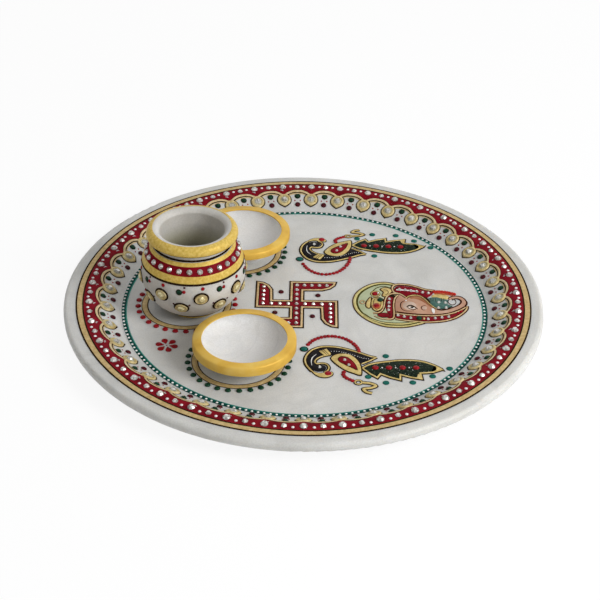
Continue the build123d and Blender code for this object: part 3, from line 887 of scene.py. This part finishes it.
def draw_peacock(side, seat, depth, flat):
    """One peacock; seat places it, depth stretches its arch of beads and flat lowers its plumes."""
    def put(x, y, h):
        return seat(x, y if y < PLUMES else PLUMES + (y - PLUMES) * flat, h)

    bird = side + "_peacock_"
    dark = Layer(bird + "dark_lines", DARK)
    gold = Layer(bird + "gold", CREAM_GOLD)
    black = Layer(bird + "black_enamel", BLACK)
    red = Layer(bird + "red_enamel", RED)
    tail = Layer(bird + "tail_enamel", TAIL)
    # White dots and specks of paint, and the painted highlight on the neck
    specks_and_sheen = Layer(bird + "white_dots_and_neck_sheen", WHITE)
    beads = Layer(bird + "red_drops", RED_DROP, replaces=(bird + "red_stones",))
    teal = Layer(bird + "teal_drops", TEAL, replaces=(bird + "teal_stones",))

    black.fill(loop(BODY), 0.3, put)
    for x, y in along_line(BODY_DOTS, 17):
        specks_and_sheen.dome(x, y, 0.3, 0.45, put, 6)
    # Painted highlight: a pale tapering streak of sheen along the neck
    specks_and_sheen.ribbon(curve(NECK_SHEEN), (0.3, 0.75, 0.3), 0.36, put)
    edged(gold, dark, curve(RIDGE), 0.9, 0.85, 0.42, put)
    edged(gold, dark, curve(WING), 0.8, 0.7, 0.42, put)
    edged(gold, dark, curve(THROAT), 0.8, 0.75, 0.42, put)
    crest = loop(CREST)
    gold.fill(crest, 0.34, put)
    dark.ribbon(crest, 0.55, 0.3, put, True)
    gold.fill(BELT, 0.45, put)
    (ax, ay), (bx, by), (cx, cy), (dx, dy) = BELT
    for share in (0.0, 0.38, 0.62, 1.0):
        start = (ax + (bx - ax) * share, ay + (by - ay) * share)
        end = (dx + (cx - dx) * share, dy + (cy - dy) * share)
        dark.ribbon([start, end], 0.45, 0.52, put)

    paisley = loop(PAISLEY)
    gold.fill(paisley, 0.4, put, 0.5)
    dark.ribbon(paisley, 0.85, 0.34, put, True)
    heart = loop(HEART)
    red.fill(heart, 0.46, put)
    dark.ribbon(heart, 0.55, 0.5, put, True)

    plumes = curve(TAIL_TOP) + list(TAIL_STEPS)
    tail.fill(inset(plumes, 1.3), 0.28, put)
    gold.fill(curve(TAIL_TIP, True, 3), 0.36, put, 0.3)
    gold.fill(TAIL_TOOTH, 0.36, put, 0.3)
    edged(gold, dark, inset(plumes, 0.9), 1.0, 0.8, 0.42, put, True)
    draws = random.Random(SPECK_SEED)
    for _ in range(TAIL_SPECKS):
        x = draws.uniform(*SPECK_X)
        y = draws.uniform(*SPECK_Y)
        if all(math.hypot(x - u, y - v) > SPECK_GAP for u, v in RED_SPOTS):
            specks_and_sheen.dome(x, y, draws.uniform(*SPECK_R), 0.36, put, 6)
    for (x0, y0), (x1, y1) in zip(RED_SPOTS, RED_SPOTS[1:]):
        specks_and_sheen.dome((x0 + x1) / 2, (y0 + y1) / 2, 0.5, 0.5, put, 8)

    arch = [(x, ARCH_END + (y - ARCH_END) * depth) for x, y in BEAD_ARCH]
    for x, y in along_line(arch, ARCH_BEADS) + along_line(CHAIN, 6):
        beads.dome(x, y, 1.15, 0.8, put, 10)
    for x, y in RED_SPOTS:
        beads.dome(x, y, 1.75, 1.0, seat)
    beads.dome(*CREST_RED, 1.85, 1.0, seat)
    for x, y in TEAL_SPOTS:
        teal.dome(x, y, 1.75, 0.5, seat)
    x, y = COLLAR_BEAD
    teal.dome(x, y, 1.9, 0.6, seat)
    dark.ribbon(ellipse(x, y, 2.0, 2.0), 0.5, 0.3, put, True)
    edged(gold, dark, ellipse(*CREST_RING, 1.7, 1.7), 0.8, 0.5, 0.4, put, True)
    edged(gold, dark, curve(SQUIGGLE), 1.5, 0.7, 0.42, put)


draw_peacock("near", lambda x, y, h: on_plate(x, -y, h), 1.0, 1.0)
draw_peacock(
    "far", lambda x, y, h: on_plate(x + FAR_SHIFT[0], y + FAR_SHIFT[1], h), FAR_ARCH_DEPTH, FAR_PLUMES
)


# Ganesha: the head in profile with a halo, crown, headband, ear and curled trunk

g_field = Layer("ganesha_halo_field", PALE_GREEN)
g_halo = Layer("ganesha_halo_rings", HALO_GOLD)
g_olive = Layer("ganesha_olive_lines", OLIVE)
g_gold = Layer("ganesha_gold_lines", CREAM_GOLD)
g_trim = Layer("ganesha_peach_gold_lines", PEACH_GOLD)
g_red = Layer("ganesha_red_enamel", RED)
g_peach = Layer("ganesha_peach_enamel", PEACH)
g_pale = Layer("ganesha_pale_peach_enamel", PALE_PEACH)
g_tan = Layer("ganesha_tan_shade", TAN)
g_brown = Layer("ganesha_brown_lines", BROWN)
g_dark = Layer("ganesha_dark_lines", DARK)
g_teal = Layer("ganesha_sea_green_enamel", SEA_GREEN)
g_white = Layer("ganesha_white_enamel", WHITE)
g_orange = Layer("ganesha_orange_enamel", ORANGE)
g_fringe = Layer("ganesha_red_fringe", FRINGE)
g_reds = Layer("ganesha_red_drops", RED_DROP, replaces=("ganesha_red_stones",))
g_greens = Layer("ganesha_green_drops", GREEN_DROP, replaces=("ganesha_green_stones",))

HALO = (
    (49.0, 20.4), (45.0, 21.6), (40.6, 21.2), (36.0, 19.1), (31.8, 15.2), (29.0, 10.9), (27.5, 5.6),
    (27.4, 0.4), (28.5, -4.6), (30.8, -9.2), (34.4, -13.6), (38.9, -17.0), (43.6, -19.1),
    (49.3, -19.6), (54.2, -19.1), (58.8, -17.5), (63.6, -15.4),
)
LOWER_HALO = (
    (31.6, -8.8), (35.4, -13.0), (40.2, -15.9), (45.4, -17.1), (51.5, -17.2), (56.6, -16.2),
    (61.4, -14.6),
)
halo = curve(HALO)
lower_halo = curve(LOWER_HALO)
g_field.fill(shifted(halo, 1.2) + [(53.0, -12.0), (53.0, 10.0)], 0.12)
g_halo.ribbon(halo, (0.8, 1.3, 1.5, 1.6, 1.5, 1.4, 1.3, 0.8), 0.36)
g_brown.ribbon(shifted(halo, -1.0), 0.7, 0.24)
g_olive.ribbon(shifted(halo, 1.2), (0.9, 1.3, 1.3, 1.1, 0.8), 0.26)
g_halo.ribbon(lower_halo, (0.2, 1.0, 1.3, 1.2, 0.6), 0.3)
g_olive.ribbon(shifted(lower_halo, 0.95), 0.55, 0.26)

CROWN = (
    (36.7, 5.9), (39.1, 7.4), (42.1, 6.5), (42.8, 1.8), (41.9, -3.0), (39.2, -5.8), (37.0, -4.1),
    (36.0, 0.6),
)
CROWN_TOP = (
    (41.4, 15.2), (43.6, 17.2), (46.4, 16.4), (47.8, 13.6), (46.2, 10.8), (43.8, 8.2), (42.2, 9.4),
    (43.0, 12.6),
)
CROWN_VEIN = ((43.2, 15.0), (45.2, 14.2), (45.6, 11.8), (44.0, 9.8))
CROWN_LEAF = ((37.4, 13.6), (39.4, 16.6), (43.0, 18.4), (47.2, 17.2))
CROWN_SIDE = ((36.2, 7.7), (33.8, 3.5), (33.3, -1.4), (35.2, -3.0), (36.0, 1.6))
BUD = (31.4, 2.6)
for outline in (CROWN, CROWN_TOP, CROWN_SIDE):
    shape = loop(outline)
    g_gold.fill(shape, 0.28)
    g_brown.ribbon(shape, 0.85, 0.3, closed=True)
g_brown.ribbon(inset(loop(CROWN), 1.4), 0.45, 0.34, closed=True)
g_olive.ribbon(curve(CROWN_LEAF), 0.6, 0.28)
g_brown.ribbon(curve(CROWN_VEIN), 0.5, 0.36)
edged(g_trim, g_brown, ellipse(*BUD, 1.3, 1.5), 0.5, 0.35, 0.3, closed=True)
edged(g_gold, g_brown, ellipse(38.6, 10.9, 2.2, 2.5), 0.6, 0.4, 0.34, closed=True)
g_white.dome(40.2, 11.9, 0.7, 0.5, sides=8)
g_orange.fill(ellipse(38.9, -0.8, 2.3, 2.9), 0.4)

BAND = (
    (45.2, 7.6), (47.2, 9.8), (49.4, 9.2), (48.2, 6.0), (47.5, 0.0), (47.5, -8.0), (46.6, -11.6),
    (44.4, -11.8), (44.6, -8.0), (43.8, -3.0), (44.2, 3.0),
)
BAND_LEFT = (
    (36.9, -7.6), (39.7, -7.1), (41.8, -4.8), (42.9, -1.0), (43.6, 4.3), (44.8, 8.5), (47.0, 10.9),
    (50.1, 11.5), (52.6, 10.7), (55.0, 7.8),
)
BAND_RIGHT = (
    (50.6, 9.8), (48.9, 6.4), (48.1, 0.1), (48.1, -7.1), (47.6, -11.6), (46.0, -13.0), (44.2, -12.6),
)
LEAF = ((39.2, -9.0), (41.7, -7.3), (44.8, -7.6), (45.9, -9.2), (44.2, -11.3), (41.1, -11.2))
LEAF_LINE = ((37.6, -10.0), (40.4, -12.4), (43.6, -13.2), (46.0, -13.2))
BAND_TIP = ((46.0, 9.0), (47.6, 10.4), (49.4, 9.6), (48.4, 7.4))
g_red.fill(loop(BAND), 0.2)
g_red.fill(loop(LEAF), 0.22)
g_dark.fill(loop(BAND_TIP), 0.3)
g_brown.ribbon(loop(LEAF), 0.5, 0.3, closed=True)
edged(g_trim, g_brown, curve(LEAF_LINE), 0.6, 0.4)
for line in (BAND_LEFT, BAND_RIGHT):
    edged(g_trim, g_brown, curve(line), 0.75, 0.75, 0.4)

FACE = (
    (49.8, 9.2), (52.6, 9.8), (54.8, 7.2), (56.7, 8.9), (59.8, 10.0), (62.9, 9.1), (65.3, 6.0),
    (67.2, 2.4), (69.3, -0.8), (71.2, -3.0), (71.2, -7.2), (62.5, -7.7), (55.0, -6.8), (49.2, -5.7),
    (48.8, 0.0),
)
SHADE = (
    (56.8, 8.4), (59.8, 9.5), (62.8, 8.6), (65.1, 5.6), (67.0, 2.0), (69.2, -1.2), (67.4, -0.6),
    (65.0, 2.6), (62.4, 5.2), (59.6, 6.6), (57.6, 6.6),
)
BROW = (
    (55.0, 7.0), (56.7, 9.1), (59.8, 10.2), (62.9, 9.3), (65.3, 6.2), (67.2, 2.6), (69.3, -0.6),
    (71.0, -2.5),
)
TRUNK = (
    (69.5, -5.2), (73.4, -5.8), (77.0, -4.6), (81.4, -1.7), (84.6, 1.1), (86.0, 3.4), (85.9, 6.2),
    (84.3, 8.3), (82.0, 8.8), (79.6, 8.3), (78.2, 6.8),
)
TRUNK_WIDTHS = (4.6, 4.2, 3.6, 3.1, 3.0, 2.9, 2.6, 2.3, 2.2, 1.8, 1.2)
TRUNK_TOP = (
    (71.0, -2.7), (73.5, -3.7), (77.1, -2.7), (80.8, -0.3), (83.6, 2.4), (84.6, 5.4), (83.2, 7.3),
    (81.2, 7.4), (79.8, 6.2),
)
CURL = ((86.5, 0.9), (87.5, 3.2), (86.9, 6.4), (85.1, 9.1), (82.6, 10.0), (79.9, 9.6), (77.8, 7.6))
MOUTH = ((49.4, -5.9), (55.0, -7.1), (62.5, -8.0), (70.2, -8.0), (76.9, -6.4), (82.3, -3.2), (86.6, 0.5))
SOCKET = ((55.4, 5.2), (52.4, 3.0), (51.9, -1.6), (54.0, -4.9), (58.8, -4.9))
CHEEK = ((65.2, 0.5), (63.4, -0.3), (62.8, -2.2), (63.7, -4.0), (65.0, -3.6))
TUSK = ((68.2, -2.5), (69.8, -2.9), (69.7, -6.2), (69.0, -7.0), (68.3, -5.6))
EYE = ((56.0, -1.5), (57.6, -0.8), (59.6, -2.4), (57.8, -2.8))
UPPER_LID = ((55.0, -1.4), (56.6, 0.2), (58.4, -0.2), (60.8, -3.0))
LOWER_LID = ((55.4, -1.9), (57.4, -3.4), (59.8, -3.4))
g_peach.fill(loop(FACE), 0.22)
g_tan.fill(loop(SHADE), 0.26)
g_pale.fill(ellipse(56.6, 0.0, 3.9, 4.2), 0.25)
g_pale.fill(ellipse(64.6, -1.8, 1.4, 1.8), 0.25)
g_peach.ribbon(curve(TRUNK), TRUNK_WIDTHS, 0.3)
edged(g_gold, g_brown, curve(BROW), 0.55, 0.85, 0.4)
for line, width, height in (
    (TRUNK_TOP, (1.2, 1.0, 1.0, 0.5), 0.36),
    (CURL, 1.0, 0.36),
    (MOUTH, (0.8, 1.0, 1.0, 0.8), 0.36),
    (SOCKET, (0.4, 0.8, 0.7, 0.4), 0.3),
    (CHEEK, (0.3, 0.6, 0.3), 0.3),
):
    g_brown.ribbon(curve(line), width, height)
g_brown.ribbon(ellipse(79.7, 4.6, 2.1, 2.9), 0.4, 0.26, closed=True)
g_white.fill(loop(TUSK), 0.5)
g_white.dome(54.9, 4.9, 0.6, 0.4, sides=8)
g_white.fill(loop(EYE), 0.3)
g_dark.ribbon(curve(UPPER_LID), (0.6, 1.4, 1.2, 0.5), 0.36)
g_dark.ribbon(curve(LOWER_LID), (0.4, 0.8, 0.4), 0.34)
g_dark.dome(57.8, -1.6, 1.15, 0.4)

EAR = (
    (49.2, 16.6), (50.9, 19.1), (55.1, 19.2), (60.2, 17.5), (64.2, 15.3), (68.8, 14.0),
    (69.8, 12.6), (68.7, 10.5), (66.4, 7.8), (65.2, 6.6), (62.9, 9.5), (59.8, 10.4), (56.7, 9.3),
    (55.2, 8.2), (53.0, 10.8), (50.8, 12.2), (49.1, 14.3),
)
EAR_EDGE = (
    (51.2, 11.6), (48.8, 12.8), (48.0, 15.8), (48.5, 18.8), (51.0, 20.6), (56.2, 20.4),
    (61.3, 18.4), (65.3, 16.2), (69.4, 15.2), (71.0, 14.8),
)
EAR_WHITE = ((50.4, 15.8), (55.0, 15.6), (60.8, 14.6), (60.6, 13.6), (55.0, 14.4), (50.6, 14.7))
EAR_SHADOW = ((64.6, 8.8), (66.6, 7.8), (68.2, 3.8), (67.2, 3.0), (65.6, 6.0))
g_red.fill(loop(EAR), 0.2)
edged(g_trim, g_brown, curve(EAR_EDGE), 0.9, 0.8, 0.36)
g_white.fill(loop(EAR_WHITE), 0.3)
g_dark.fill(loop(EAR_SHADOW), 0.3)

HAND = (
    (66.9, 7.6), (71.1, 8.7), (75.1, 7.2), (77.6, 6.0), (77.2, 2.2), (79.6, 0.4), (75.6, -2.2),
    (71.2, -2.3), (68.1, 1.7), (66.7, 5.3),
)
SLEEVE = ((70.0, 11.2), (74.4, 11.4), (78.2, 9.8), (77.4, 7.2), (74.2, 7.4), (71.1, 8.7), (68.9, 8.8))
HAND_FOOT = ((71.4, -2.2), (75.6, -2.4), (79.4, 0.0))
CUFF = ((70.6, 12.2), (75.4, 12.2), (80.6, 10.8))
CUFF_FRINGE = ((70.6, 13.9), (74.4, 14.0), (78.2, 13.2), (81.2, 12.0))
g_teal.fill(loop(HAND), 0.26)
for x in (68.4, 69.6, 70.8, 74.2, 75.4):
    g_dark.ribbon([(x, 7.6), (x - 0.1, 4.4)], 0.4, 0.32)
g_dark.ribbon(curve(HAND_FOOT), 0.5, 0.32)
g_gold.fill(loop(SLEEVE), 0.3)
g_orange.ribbon(curve(CUFF), (0.8, 1.5, 0.8), 0.36)
for x, y in along_line(CUFF_FRINGE, 9):
    g_fringe.dome(x, y, 1.2, 0.8, sides=10)

COLLAR = (
    (49.4, -7.9), (54.9, -9.1), (62.5, -9.7), (70.1, -9.7), (76.3, -8.4), (82.1, -5.4),
    (86.2, -1.6), (85.8, -3.2), (83.2, -6.6), (79.6, -9.9), (74.6, -12.5), (69.6, -13.7),
    (64.7, -14.3), (60.7, -14.0), (54.7, -13.1), (49.2, -11.8),
)
COLLAR_TOP = (
    (48.9, -7.2), (54.9, -8.5), (62.5, -9.1), (70.1, -9.0), (76.3, -7.6), (82.1, -4.6), (86.6, -0.6),
)
COLLAR_FOOT = (
    (48.6, -12.6), (54.7, -14.0), (60.7, -14.8), (64.7, -15.1), (69.8, -14.6), (74.9, -13.4),
    (80.1, -10.7), (83.9, -7.0), (86.8, -2.6), (87.4, 0.6),
)
g_red.fill(loop(COLLAR), 0.2)
for line, width in ((COLLAR_TOP, 0.75), (COLLAR_FOOT, 0.85)):
    edged(g_trim, g_brown, curve(line), width, 0.8, 0.36)
g_gold.fill(ellipse(63.8, -11.9, 0.6, 1.1), 0.3, lip=0.15)
for x, y in ((38.4, 10.8), (38.9, -0.8)):
    g_reds.dome(x, y, 1.55, 1.2)
for x, y in ((82.2, -5.9), (84.0, -4.5)):
    g_reds.dome(x, y, 0.9, 0.7)
for x, y in ((41.0, 4.6), (61.2, -11.9)):
    g_greens.dome(x, y, 1.6, 1.5)


# Kalash: gold and red bands, dark lines, and painted dots between the settings

def belly_profile(low, high, count=9):
    levels = [low + (high - low) * k / (count - 1) for k in range(count)]
    return [(belly_radius(level), level) for level in levels]


def under_lip(t):
    """A point of the flare from the groove, at zero, to the lip's widest line, at one."""
    near = (1 - t) ** 2
    return near * NECK_R + (1 - near) * LIP_R, (1 - t * t) * NECK_TOP_Z + t * t * LIP_Z


def lip_profile(start, count=22):
    """From the groove up under the lip and over its roll."""
    points = [under_lip(start + (1 - start) * k / 6) for k in range(7)]
    for k in range(1, count):
        a = math.radians(LIP_TURN * k / (count - 1))
        points.append((LIP_R - LIP_ROLL + LIP_ROLL * math.cos(a), LIP_Z + LIP_ROLL * math.sin(a)))
    return points


LOWER_GOLD = (29.3, 32.9)
RED_COLLAR = (32.8, 37.2)
UPPER_GOLD = (37.1, SHOULDER_Z - 0.1)
FOOT_GOLD = (0.15, 1.1)
BELLY_LINE = (28.3, 29.4)
# Dark band near the foot: a painted line, widened to also serve as painted shade under the belly
FOOT_LINE_AND_SHADE = (2.6, 5.2)
GROOVE_FOOT = [(NECK_R + 0.5, SHOULDER_Z + 0.1), (NECK_R + 0.05, 39.3), (NECK_R, 39.9)]
GROOVE_TOP = [(NECK_R, 41.7), (NECK_R, NECK_TOP_Z), (NECK_R + 1.5, NECK_TOP_Z + 0.12)]
k_gold = Layer("kalash_gold_bands", GOLD, "kalash")
k_collar = Layer("kalash_red_collar", RED, "kalash")
k_dark = Layer("kalash_dark_lines", DARK, "kalash")
for coat, profile, thickness in (
    (k_gold, belly_profile(*LOWER_GOLD), 0.16),
    (k_gold, belly_profile(*UPPER_GOLD), 0.16),
    (k_gold, lip_profile(0.74), 0.12),
    (k_gold, [(FOOT_R, level) for level in FOOT_GOLD], 0.12),
    (k_collar, belly_profile(*RED_COLLAR), 0.1),
    (k_dark, belly_profile(*BELLY_LINE, 3), 0.2),
    (k_dark, GROOVE_FOOT, 0.1),
    (k_dark, GROOVE_TOP, 0.1),
    (k_dark, [under_lip(0.3 + 0.09 * k) for k in range(6)], 0.13),
    # dark line at the foot, partly painted shade under the belly
    (k_dark, belly_profile(*FOOT_LINE_AND_SHADE, 5), 0.12),
):
    coat.shell(KALASH, profile, thickness)
k_green = Layer("kalash_green_dots", GREEN_DROP, "kalash")
k_red = Layer("kalash_red_dots", RED_DROP, "kalash")
k_brown = Layer("kalash_brown_dots", MAROON, "kalash")
STEP = 360.0 / BEZELS
GREEN_DOT = (24.6, STEP / 2 - 1.5)
RED_DOTS = ((25.0, STEP / 2 + 4.0, 0.95), (26.6, 2.0, 1.0))
BROWN_DOTS = ((16.6, -13.0), (16.6, 14.0), (27.4, -18.0))
for k in range(BEZELS):
    bearing = UPPER_BEARING + STEP * k
    for level, shift in ((UPPER_LEVEL, 0.0), (LOWER_LEVEL, STEP / 2)):
        k_dark.fill(ellipse(0, 0, 3.75, 4.15), 0.07, belly_spot(level, bearing + shift), 0.1, 0.3)
    green_spot = belly_spot(GREEN_DOT[0], bearing + GREEN_DOT[1])
    k_dark.dome(0, 0, 1.75, 0.2, green_spot)
    k_green.dome(0, 0, 1.4, 0.6, green_spot)
    for level, shift, radius in RED_DOTS:
        k_red.dome(0, 0, radius, 0.5, belly_spot(level, bearing + shift), 10)
    for level, shift in BROWN_DOTS:
        k_brown.dome(0, 0, 0.6, 0.3, belly_spot(level, bearing + shift), 8)


# Bowls: a gilt rim over the outer band and the flat top

for name, centre, band_height in (("near_bowl", NEAR_BOWL, 4.9), ("far_bowl", FAR_BOWL, 3.7)):
    low = BOWL_TOP - band_height
    gilt = Layer(name + "_gilt_rim", RIM_GOLD, name)
    gilt.shell(
        centre,
        [
            (BOWL_R - BOWL_STEP + 0.15, low),
            (BOWL_R, low),
            (BOWL_R, BOWL_TOP - BOWL_BEVEL),
            (BOWL_R - BOWL_BEVEL, BOWL_TOP),
            (BOWL_HOLLOW_R, BOWL_TOP),
            (BOWL_HOLLOW_R - 0.05, BOWL_TOP - 0.5),
        ],
        0.12,
    )

for layer in LAYERS:
    layer.build()


# Stage: white floor, surroundings dimmer on the left, a soft key light from the near right, a weak fill

DIM_SIDE = 0.22
BRIGHT_SIDE = 0.67
FLOOR_SIZE = 8.0
FLOOR_DROP = 0.0002
FLOOR_GLOW = 1.04
GLOW_SHARE = 0.86


def white_to_camera(tree):
    """One for rays from the camera, off metal or through glass, and zero for the light itself."""
    path = tree.nodes.new("ShaderNodeLightPath")
    total = path.outputs["Is Camera Ray"]
    for ray in ("Is Glossy Ray", "Is Transmission Ray"):
        largest = tree.nodes.new("ShaderNodeMath")
        largest.operation = "MAXIMUM"
        feed(tree, largest, {0: total, 1: path.outputs[ray]})
        total = largest.outputs["Value"]
    return total


world = bpy.data.worlds.new("studio")
world.use_nodes = True
bpy.context.scene.world = world
sky = world.node_tree
directions = sky.nodes.new("ShaderNodeTexCoord").outputs["Generated"]
sideways = add(sky, "ShaderNodeSeparateXYZ", {"Vector": directions}).outputs["X"]
side_light = spread(sky, sideways, DIM_SIDE, BRIGHT_SIDE, -1.0)
sky_strength = spread(sky, white_to_camera(sky), side_light, 1.0)
feed(sky, sky.nodes["Background"], {"Color": (1, 1, 1, 1), "Strength": sky_strength})

floor_mat, tree, floor_shader = new_material("white_floor")
feed(tree, floor_shader, {"Base Color": (0.9, 0.9, 0.9, 1), "Roughness": 0.9, "Specular IOR Level": 0.0})
glow = add(tree, "ShaderNodeEmission", {"Strength": FLOOR_GLOW})
blend = add(tree, "ShaderNodeMixShader", {
    "Fac": spread(tree, white_to_camera(tree), 0.0, GLOW_SHARE),
    1: floor_shader.outputs["BSDF"],
    2: glow.outputs["Emission"],
})
feed(tree, tree.nodes["Material Output"], {"Surface": blend.outputs["Shader"]})
bpy.ops.mesh.primitive_plane_add(size=FLOOR_SIZE, location=(0, 0, -FLOOR_DROP))
floor = bpy.context.object
floor.name = "floor"
floor.data.materials.append(floor_mat)


LIGHT_TARGET = Vector((0, 0, 0.02))


def area_light(name, place, size, power):
    light = bpy.data.lights.new(name, "AREA")
    light.shape = "DISK"
    light.size = size
    light.energy = power
    lamp = bpy.data.objects.new(name, light)
    lamp.location = place
    lamp.rotation_euler = (LIGHT_TARGET - Vector(place)).to_track_quat("-Z", "Y").to_euler()
    bpy.context.scene.collection.objects.link(lamp)


area_light("key", (0.7, -0.44, 0.57), 0.45, 5.8)
area_light("fill", (0.1, 0.9, 0.8), 0.8, 0.8)

# Camera: a long lens at the photograph's height, with its small tilt and framing shift
ELEVATION = 33.67
DISTANCE = 0.852
ROLL = 1.04
camera_data = bpy.data.cameras.new("camera")
camera_data.sensor_width = 36.0
camera_data.lens = 96.0
camera_data.shift_x = -0.0064
camera_data.shift_y = -0.0103
camera = bpy.data.objects.new("camera", camera_data)
bpy.context.scene.collection.objects.link(camera)
tilt = math.radians(ELEVATION)
place = Matrix.Translation((0, -DISTANCE * math.cos(tilt), RIM_Z * MM + DISTANCE * math.sin(tilt)))
turn = Matrix.Rotation(math.pi / 2 - tilt, 4, "X") @ Matrix.Rotation(math.radians(ROLL), 4, "Z")
camera.matrix_world = place @ turn
bpy.context.scene.camera = camera

bpy.context.scene.view_settings.view_transform = "Standard"
